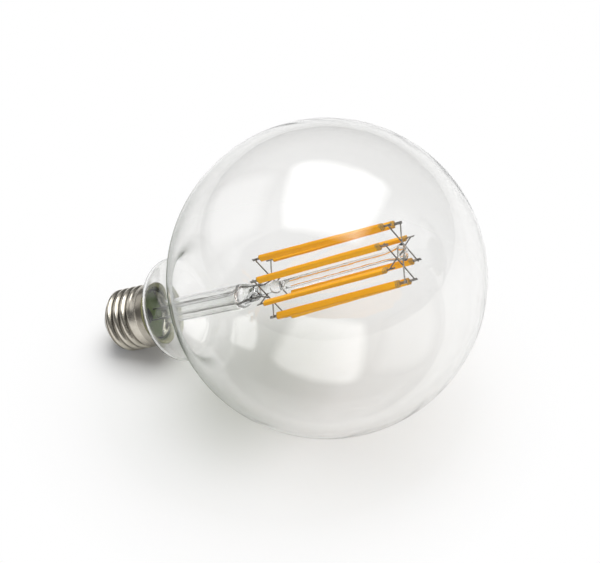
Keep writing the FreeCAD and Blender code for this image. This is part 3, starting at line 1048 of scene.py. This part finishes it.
@dataclass
class GlassMount:
    """The stem with its bell and pinch, the thin tube inside it and the rod that carries the ring."""

    lean: float = 3.8
    lean_toward: float = 107.8
    stem_r: float = 5.0
    wall: float = 0.9
    bell_r: float = 11.7 - 0.9
    bell_top_z: float = -77.0
    bell_height: float = 7.5
    bell_fade: float = 2.0
    foot_z: float = -88.0
    pinch_z: float = -41.5
    pinch_top_z: float = -32.0
    pinch_half: tuple[float, float] = (4.4, 1.7)
    pinch_turn: float = 103.1
    tube_r: float = 2.0
    tube_wall: float = 0.6
    tube_end_z: float = -85.0
    tube_top_z: float = -42.4
    funnel_inset: float = 0.7
    funnel_depth: float = 1.0
    funnel_step: float = 0.3
    seal: float = 0.05
    rod_r: float = 1.9
    rod_sink: float = 1.0
    bead_r: float = 2.6
    bead_z: float = -25.0
    head_r: float = 3.6
    head_z: float = 33.6 + 0.9
    head_edge: tuple[float, float] = (0.3, 0.5)

    def leaning(self, share: float = 1.0) -> Matrix:
        """Finds the mount's lean about the foot of its pinch.

        Args:
            share: How much of the lean is wanted.

        Returns:
            The turn.
        """
        pivot = Matrix.Translation((0.0, 0.0, self.pinch_z))
        axis = around(self.lean_toward + 90.0, 1.0)
        return pivot @ Matrix.Rotation(math.radians(self.lean * share), 4, axis) @ pivot.inverted()

    def bell(self) -> BMesh:
        """Makes the stem's tube and bell with their inside.

        Returns:
            The skin, open only round the pinch's foot.
        """
        spread = self.bell_r - self.stem_r
        bend = (spread**2 + self.bell_height**2) / (2.0 * spread)
        middle_r = self.stem_r + bend
        inner_bend = bend + self.wall
        inner_r, foot_r = self.stem_r - self.wall, self.bell_r - self.wall
        outer_turn = math.degrees(math.acos((middle_r - self.bell_r) / bend))
        inner_turn = math.degrees(math.acos((middle_r - foot_r) / inner_bend))
        inner_z = self.bell_top_z - inner_bend * math.sin(math.radians(inner_turn))
        section = Section(self.stem_r, self.pinch_z).line(self.stem_r, self.bell_top_z, 7)
        section.arc(middle_r, self.bell_top_z, outer_turn, 12).line(self.bell_r, self.foot_z)
        section.line(foot_r, self.foot_z).line(foot_r, inner_z)
        section.arc(middle_r, self.bell_top_z, -inner_turn, 12)
        section.line(inner_r, self.tube_top_z - self.funnel_depth, 7)
        section.line(inner_r - self.funnel_inset, self.tube_top_z - self.funnel_step)
        section.line(self.tube_r, self.tube_top_z + self.seal)
        return section.line(0.0, self.tube_top_z + 2.0 * self.seal).spun(48, False)

    def pinch(self) -> BMesh:
        """Makes the pressed pinch.

        Returns:
            The skin, closed at its top and open at its foot.
        """
        turn = Matrix.Rotation(math.radians(self.pinch_turn), 4, "Z")
        wide, thin = self.pinch_half
        half_sizes_by_share = {
            0.22: (self.stem_r, self.stem_r * 0.82),
            0.45: (wide * 1.04, thin * 1.5),
            0.65: (wide, thin * 1.05),
            0.88: (wide, thin),
            0.97: (wide * 0.9, thin * 0.85),
            1.0: (wide * 0.7, thin * 0.5),
        }
        rings = []
        for share, half_sizes in half_sizes_by_share.items():
            height = self.pinch_z + (self.pinch_top_z - self.pinch_z) * share
            stand = self.leaning(min(share * 2.0, 1.0)) @ Matrix.Translation((0.0, 0.0, height))
            rings.append(stand @ turn @ Matrix.Diagonal((*half_sizes, 1.0, 1.0)))
        mesh = threaded(rings, 48, False)
        middle_z = (self.pinch_z + self.pinch_top_z) / 2.0
        rims = [edge for edge in mesh.edges if edge.is_boundary]
        top = [edge for edge in rims if edge.verts[0].co.z > middle_z]
        bmesh.ops.holes_fill(mesh, edges=top, sides=0)
        return mesh

    def stem(self) -> BMesh:
        """Makes the stem's glass, closed by its pinch.

        Returns:
            The stem, with its bell marked as thick.
        """
        whole = gather([self.bell(), self.pinch()])
        bmesh.ops.bridge_loops(whole, edges=[edge for edge in whole.edges if edge.is_boundary])
        thick = whole.verts.layers.float.new("thick")
        for vert in whole.verts:
            above = vert.co.z - self.bell_top_z
            vert[thick] = held((self.bell_fade - above) / (2.0 * self.bell_fade))
        return tidied(whole)

    def tube(self) -> BMesh:
        """Makes the thin tube inside the stem.

        Returns:
            The tube, sealed round at its foot.
        """
        low = self.tube_end_z + self.tube_r
        inner_r = self.tube_r - self.tube_wall
        section = Section(0.0, self.tube_end_z).arc(0.0, low, 90.0, 8).line(self.tube_r, self.tube_top_z, 6)
        section.line(inner_r, self.tube_top_z).line(inner_r, low, 6).arc(0.0, low, -90.0, 8)
        return section.spun(32, False)

    def rod(self) -> BMesh:
        """Makes the solid rod with its bead and its spread head.

        Returns:
            The rod, leaning.
        """
        waist = math.sqrt(self.bead_r**2 - self.rod_r**2)
        turn = math.degrees(math.atan2(waist, self.rod_r))
        dome_r = 1.5 * self.head_r
        dome_z = self.head_z - math.sqrt(dome_r**2 - self.head_r**2)
        half = math.degrees(math.asin(self.head_r / dome_r))
        foot_z = self.pinch_top_z - self.rod_sink
        section = Section(0.0, foot_z).line(self.rod_r, foot_z)
        section.line(self.rod_r, self.bead_z - waist, 2).arc(0.0, self.bead_z, 2.0 * turn, 8)
        section.line(self.rod_r, self.head_z - 2.0 * self.head_r, 8)
        edge, drop = self.head_edge
        section.line(self.head_r - edge, self.head_z - drop, 4).line(self.head_r, self.head_z)
        mesh = section.arc(0.0, dome_z, half, 8).spun(36, False)
        mesh.transform(self.leaning())
        return mesh

    def build(self, lay: Lay) -> None:
        """Builds the three pieces of glass.

        Args:
            lay: How the bulb lies.
        """
        lay.finish(self.stem(), "stem_glass", Dress.MOUNT, ["stem_flare"], 70.0)
        lay.finish(self.tube(), "inner_tube", Dress.MOUNT, ["exhaust_tube"], 70.0)
        lay.finish(self.rod(), "rod_glass", Dress.MOUNT, ["centre_rod"], 50.0)


@dataclass
class FilamentRing:
    """Eight filaments round the rod, with the wires that join and feed them.

    The filaments stand in two halves. In each half the first and the last lie against a straight chord
    wire, and the others hang on wires of their own. A pad's two sizes are how far the strip's grey end shows
    through the coat, and the length over which it fades out.
    """

    mount: GlassMount
    count: int = 8
    ring_r: float = 11.95
    start: float = 35.6
    foot_shift: float = 1.8
    coat_low: float = -25.2
    coat_high: float = 31.6
    coat_width: float = 2.9
    coat_depth: float = 1.7
    coat_round: float = 0.55
    end_round: float = 0.3
    end_crease: float = 1.2
    edge_reach: float = 0.7
    foot_rows: tuple[float, float] = (0.7, 1.2)
    foot_pad: tuple[float, float] = (0.9, 0.5)
    top_pad: tuple[float, float] = (2.2, 0.8)
    carrier_width: float = 1.8
    carrier_depth: float = 0.4
    tab_grip: float = 1.5
    tab_width: float = 1.1
    tab_depth: float = 0.25
    tab_reach: float = 3.4
    wire_r: float = 0.28
    weld_sink: float = 0.06
    weld_from_coat: float = 2.0
    overrun: float = 0.6
    lead_r: float = 0.3
    lead_offset: float = 2.9
    lead_foot_z: float = -90.2

    @property
    def low_z(self) -> float:
        """Height of the lower welds."""
        return self.coat_low - self.weld_from_coat

    @property
    def high_z(self) -> float:
        """Height of the upper welds."""
        return self.coat_high + self.weld_from_coat

    @property
    def step(self) -> float:
        """Height between two crossing wires."""
        return 2.0 * self.wire_r - self.weld_sink

    @property
    def last(self) -> int:
        """Number of the last place in a half."""
        return self.count // 2 - 1

    def middle(self, half: int) -> float:
        """The place in the middle of a half."""
        return half * (self.last + 1) + self.last / 2.0

    @property
    def chord_r(self) -> float:
        """Distance of the chord wires from the axis."""
        return self.ring_r * math.cos(math.radians(self.last / 2.0 * 360.0 / self.count))

    def turn(self, place: float) -> float:
        """Angle of a place round the ring, in degrees."""
        return self.start + place * 360.0 / self.count

    def spot(self, place: float, z: float, r: float) -> Vector:
        """A point of the leaning ring."""
        return self.mount.leaning() @ around(self.turn(place), r, z)

    def stand(self, place: int) -> Matrix:
        """Finds where a filament stands, with its flat against its own wire.

        Args:
            place: Its place round the ring; the last of each half leans aside.

        Returns:
            Its place and turn.
        """
        half, at = divmod(place, self.last + 1)
        flat = self.turn(self.middle(half)) if at in (0, self.last) else self.turn(place) + 90.0
        across = around(flat, 1.0)
        spot = around(self.turn(place), self.ring_r)
        weld = Matrix.Translation((spot.x, spot.y, self.high_z))
        askew = math.atan2(self.foot_shift, self.high_z - self.low_z) if at == self.last else 0.0
        swing = weld @ Matrix.Rotation(askew, 4, across) @ weld.inverted()
        spot += across * (self.wire_r + self.tab_depth / 2.0 - self.weld_sink)
        upright = Matrix.Translation(spot) @ Matrix.Rotation(math.radians(flat - 90.0), 4, "Z")
        return self.mount.leaning() @ swing @ upright

    def coat(self) -> BMesh:
        """Makes one filament's coat, rounded along its length.

        Returns:
            The coat, marked where it nears an edge and where its end pads show.
        """
        mesh = bar(self.coat_width, self.coat_depth, self.coat_low, self.coat_high)
        upright = [e for e in mesh.edges if abs(e.verts[0].co.z - e.verts[1].co.z) > self.coat_width]
        rounded(mesh, upright, self.coat_round, 5)
        creases = [e for e in mesh.edges if e.calc_face_angle(0.0) > self.end_crease]
        rounded(mesh, creases, self.end_round, 3)
        foot, foot_fade = self.foot_pad
        top, top_fade = self.top_pad
        rows = [self.coat_low + row for row in self.foot_rows]
        rows += [self.coat_high - top, self.coat_high - top + top_fade]
        for z in rows:
            geometry = mesh.verts[:] + mesh.edges[:] + mesh.faces[:]
            bmesh.ops.bisect_plane(mesh, geom=geometry, plane_co=(0.0, 0.0, z), plane_no=(0.0, 0.0, 1.0))
        near_edge, near_end = (mesh.verts.layers.float.new(name) for name in ("edge", "end"))
        for vert in mesh.verts:
            aside = abs(vert.co.x) / (self.coat_width / 2.0)
            from_foot, from_top = vert.co.z - self.coat_low, self.coat_high - vert.co.z
            vert[near_edge] = max(aside**3, 1.0 - min(from_foot, from_top) / self.edge_reach, 0.0)
            vert[near_end] = held(max((foot - from_foot) / foot_fade, (top - from_top) / top_fade))
        return tidied(mesh)

    def filament(self, place: int, lay: Lay) -> None:
        """Builds the coat, carrier and tabs of one filament.

        Args:
            place: Its place round the ring.
            lay: How the bulb lies.
        """
        low, high, grip, reach = self.coat_low, self.coat_high, self.tab_grip, self.tab_reach
        carrier = bar(self.carrier_width, self.carrier_depth, low + grip, high - grip)
        lower_tab = bar(self.tab_width, self.tab_depth, low - reach, low + grip)
        upper_tab = bar(self.tab_width, self.tab_depth, high - grip, high + reach)
        parts = {
            "coat": (self.coat(), Dress.PHOSPHOR),
            "carrier": (carrier, Dress.CARRIER),
            "lower_tab": (lower_tab, Dress.TAB),
            "upper_tab": (upper_tab, Dress.TAB),
        }
        for name, (mesh, dress) in parts.items():
            mesh.transform(self.stand(place))
            lay.finish(mesh, f"strip_{place + 1}_{name}", dress, [f"filament_{place + 1}_{name}"])

    def chord(self, half: int, z: float, shift: float) -> list[Vector]:
        """Finds the ends of a chord wire.

        Args:
            half: Which half of the ring it serves.
            z: Its height.
            shift: How much farther it runs past the last filament.

        Returns:
            Its two ends.
        """
        first = half * (self.last + 1)
        ends = [self.spot(first + k, z, self.ring_r) for k in (0, self.last)]
        heading = (ends[1] - ends[0]).normalized()
        return [ends[0] - heading * self.overrun, ends[1] + heading * (self.overrun + shift)]

    def lead(self, half: int) -> list[Vector]:
        """Finds the way of a lead wire.

        Args:
            half: Which half of the ring it feeds.

        Returns:
            Its points, from the cap to the chord wire.
        """
        place = self.middle(half)
        pinch_top_z = self.mount.pinch_top_z + 2.0 * self.lead_r
        weld_z = self.low_z - self.wire_r - self.lead_r + self.weld_sink
        return [
            around(self.turn(place), self.lead_offset, self.lead_foot_z),
            around(self.turn(place), self.lead_offset, self.mount.pinch_z),
            self.spot(place, pinch_top_z, self.lead_offset),
            self.spot(place, weld_z, self.chord_r),
        ]

    def runs(self) -> dict[str, list[Vector]]:
        """Finds the way of every wire but the leads.

        Returns:
            The ends of each, by its node's name.
        """
        reach = self.ring_r + self.overrun
        inner = self.chord_r / math.cos(math.radians(180.0 / self.count)) - self.overrun
        runs: dict[str, list[Vector]] = {}
        for half in (0, 1):
            runs[f"lower_chord_wire_{half + 1}"] = self.chord(half, self.low_z, self.foot_shift)
            runs[f"upper_chord_wire_{half + 1}"] = self.chord(half, self.high_z, 0.0)
        single = [place for place in range(self.count) if place % (self.last + 1) not in (0, self.last)]
        for k, place in enumerate(single):
            z = self.low_z + self.step
            runs[f"lower_branch_wire_{k + 1}"] = [self.spot(place, z, r) for r in (reach, inner)]
        for k, z in enumerate((self.high_z - self.step, self.high_z + self.step)):
            runs[f"upper_cross_wire_{k + 1}"] = [self.spot(k + 1, z, r) for r in (reach, -reach)]
        return runs

    def build(self, lay: Lay) -> None:
        """Builds the wires, and then the filaments.

        Args:
            lay: How the bulb lies.
        """
        drawn = {name: wire(ends, self.wire_r) for name, ends in self.runs().items()}
        for half in (0, 1):
            drawn[f"lead_wire_{half + 1}"] = wire(self.lead(half), self.lead_r)
        for name, mesh in drawn.items():
            lay.finish(mesh, f"{name}_drawn", Dress.WIRE, [name])
        for place in range(self.count):
            self.filament(place, lay)


@dataclass
class HiddenPieces:
    """The cement and the driver in the cap, dressed as the frame gives them."""

    dresses: Mapping[str, Dress] = field(
        default_factory=lambda: {
            "basing_cement": Dress.CEMENT,
            "driver_board": Dress.BOARD,
            "rectifier": Dress.CASE,
            "capacitor": Dress.CAN,
            "fusible_resistor": Dress.RESISTOR,
            "contact_wire": Dress.WIRE,
            "shell_wire": Dress.WIRE,
        }
    )

    def build(self, nodes: Mapping[str, bpy.types.Object]) -> None:
        """Dresses the frame's own nodes.

        Args:
            nodes: The frame's objects by node name.
        """
        for name, dress in self.dresses.items():
            dress.put_on(nodes[name])
            LOG.info("%s: dressed as the frame gives it", name)


# Studio


@dataclass(frozen=True)
class StudioGround(Finish):
    """The pale seamless floor, which shows near white and keeps the bulb's shadow.

    Attributes:
        colour: Its colour.
        worn: Colour of its faint mottling.
        lift: Share of plain white in it under the bulb, where it is seen.
        fade_from: Distance from the origin in metres at which it starts to turn plain white.
        fade_to: Distance at which it is plain white.
        tooth_scale: Mottles to a metre.
    """

    colour: Colour = (0.93, 0.93, 0.93)
    worn: Colour = (0.7, 0.7, 0.7)
    lift: float = 0.06
    fade_from: float = 0.075
    fade_to: float = 0.115
    tooth_scale: float = 300.0

    def shade(self, shader: Shader) -> Signal:
        """A matt floor that goes over to plain white away from the bulb where it is seen.

        Args:
            shader: The empty tree.

        Returns:
            The surface.
        """
        where = shader.place()
        tooth = shader.noise(where, self.tooth_scale, 4.0)
        matt = shader.node(
            "ShaderNodeBsdfPrincipled",
            inputs={
                "Base Color": shader.blend(tooth * 0.04, self.colour, self.worn),
                "Roughness": 1.0,
                "Specular IOR Level": 0.0,
            },
        )
        away = shader.vector("LENGTH", {0: where}, "Value")
        faded = ((away - self.fade_from) / (self.fade_to - self.fade_from)).clamped()
        seen = shader.light_path("Is Camera Ray", "Is Transmission Ray")
        return shader.mixed(seen * (faded * (1.0 - self.lift) + self.lift), matt, shader.emission(1.0))


@dataclass(frozen=True)
class SoftPanel(Finish):
    """The lit face of a softbox, which fades towards its edges.

    Attributes:
        radiance: Its brightness in the middle, where 1 is white.
        width: Its width in metres.
        height: Its height in metres.
        margin: How far in from its edges it reaches full brightness.
    """

    radiance: float
    width: float
    height: float
    margin: float = 0.22

    def shade(self, shader: Shader) -> Signal:
        """Light that is brightest in the panel's middle, and leaves from the front only.

        Args:
            shader: The empty tree.

        Returns:
            The surface.
        """
        where = shader.place()
        lit = shader.front()
        for axis, size in (("X", self.width), ("Y", self.height)):
            aside = shader.node("ShaderNodeSeparateXYZ", inputs={0: where}, output=axis)
            lit = ((size / 2.0 - aside.size()) / self.margin).clamped() * lit
        unlit = shader.node("ShaderNodeBsdfDiffuse", inputs={"Color": BLACK})
        return shader.mixed(lit, unlit, shader.emission(self.radiance))


@dataclass
class Studio:
    """The pale floor, the softboxes and the camera, about the globe's centre."""

    centre: Vector
    azimuth: float = 19.67
    elevation: float = 42.84
    focal_pixels: float = 1925.3
    aim: tuple[float, float, float] = (10.517, -1.169, 749.925)
    floor_size: float = 12.0
    room: float = 0.15
    room_fill: float = 0.18
    bounces: int = 24

    def axes(self) -> tuple[Vector, Vector, Vector]:
        """Finds how the camera is turned.

        Returns:
            Its right, down and forward directions.
        """
        a, e = math.radians(self.azimuth), math.radians(self.elevation)
        right = Vector((math.cos(a), math.sin(a), 0.0))
        forward = -Vector((math.sin(a) * math.cos(e), -math.cos(a) * math.cos(e), math.sin(e)))
        return right, forward.cross(right), forward

    def camera(self) -> None:
        """Places the camera so that the globe's centre falls where the picture has it."""
        right, down, forward = self.axes()
        offset = right * self.aim[0] + down * self.aim[1] + forward * self.aim[2]
        data = bpy.data.cameras.new("camera")
        data.sensor_width = 36.0
        data.lens = self.focal_pixels * data.sensor_width / PICTURE_WIDTH
        data.clip_end = 20.0
        camera = bpy.data.objects.new("camera", data)
        turn = Matrix((right, -down, -forward)).transposed().to_4x4()
        camera.matrix_world = Matrix.Translation(self.centre - offset * MILLIMETRE) @ turn
        bpy.context.scene.collection.objects.link(camera)
        bpy.context.scene.camera = camera

    @staticmethod
    def panel(name: str, width: float, height: float, finish: Finish) -> bpy.types.Object:
        """Makes a flat rectangle of the stage, facing up about the origin.

        Args:
            name: The panel's name.
            width: Its width in metres.
            height: Its height in metres.
            finish: What covers it.

        Returns:
            The panel.
        """
        mesh = bmesh.new()
        size = Matrix.Diagonal((width, height, 1.0, 1.0))
        bmesh.ops.create_grid(mesh, x_segments=1, y_segments=1, size=0.5, matrix=size)
        data = bpy.data.meshes.new(name)
        mesh.to_mesh(data)
        mesh.free()
        data.materials.append(finish.material())
        panel = bpy.data.objects.new(name, data)
        bpy.context.scene.collection.objects.link(panel)
        return panel

    def softbox(self, name: str, spot: Vector, size: tuple[float, float], radiance: float) -> None:
        """Hangs a softbox that faces the globe, at a place in metres from the globe's centre."""
        box = self.panel(name, *size, SoftPanel(f"{name} light", radiance, *size))
        box.matrix_world = Matrix.Translation(self.centre + spot) @ along(spot, Vector())

    def world(self) -> None:
        """Fills the room with faint light, and shows it white to the camera."""
        world = bpy.data.worlds.new("studio")
        world.use_nodes = True
        bpy.context.scene.world = world
        shader = Shader(world.node_tree)
        filled = shader.light_path("Is Diffuse Ray", "Is Transmission Ray")
        strength = (filled * self.room_fill + self.room).highest(shader.light_path("Is Camera Ray"))
        shader.surface(shader.node("ShaderNodeBackground", inputs={"Color": WHITE, "Strength": strength}))

    def build(self) -> None:
        """Sets up the studio."""
        self.world()
        self.panel("floor", self.floor_size, self.floor_size, StudioGround("studio ground"))
        self.softbox("key", Vector((-0.02, 0.22, 1.1)), (1.4, 1.4), 3.5)
        self.softbox("fill", Vector((-0.95, 0.1, 0.5)), (1.0, 1.0), 0.9)
        self.camera()
        scene = bpy.context.scene
        scene.view_settings.view_transform = "Standard"
        scene.cycles.max_bounces = self.bounces
        scene.cycles.transmission_bounces = self.bounces
        scene.cycles.transparent_max_bounces = self.bounces
        LOG.info("studio: camera at %s", tuple(round(v, 4) for v in scene.camera.location))


def main() -> None:
    """Builds the bulb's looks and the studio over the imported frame."""
    logging.basicConfig(level=logging.INFO, format="%(name)s: %(message)s")
    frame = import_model()
    globe = Envelope()
    globe_r = globe.globe_r * MILLIMETRE
    centre = Vector((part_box("glass_envelope")[1].x - globe_r, 0.0, globe_r))
    to_foot = Vector(next(m["axis"] for m in frame["record"]["mounts"] if m["name"] == "centre_contact"))
    turn = Matrix.Rotation(math.atan2(-to_foot.x, -to_foot.z), 4, "Y")
    lay = Lay(Matrix.Translation(centre) @ turn @ Matrix.Scale(MILLIMETRE, 4))
    mount = GlassMount()
    globe.build(lay)
    ScrewCap().build(lay)
    mount.build(lay)
    FilamentRing(mount).build(lay)
    HiddenPieces().build(frame["nodes"])
    Studio(centre).build()


if __name__ == "__main__":
    main()
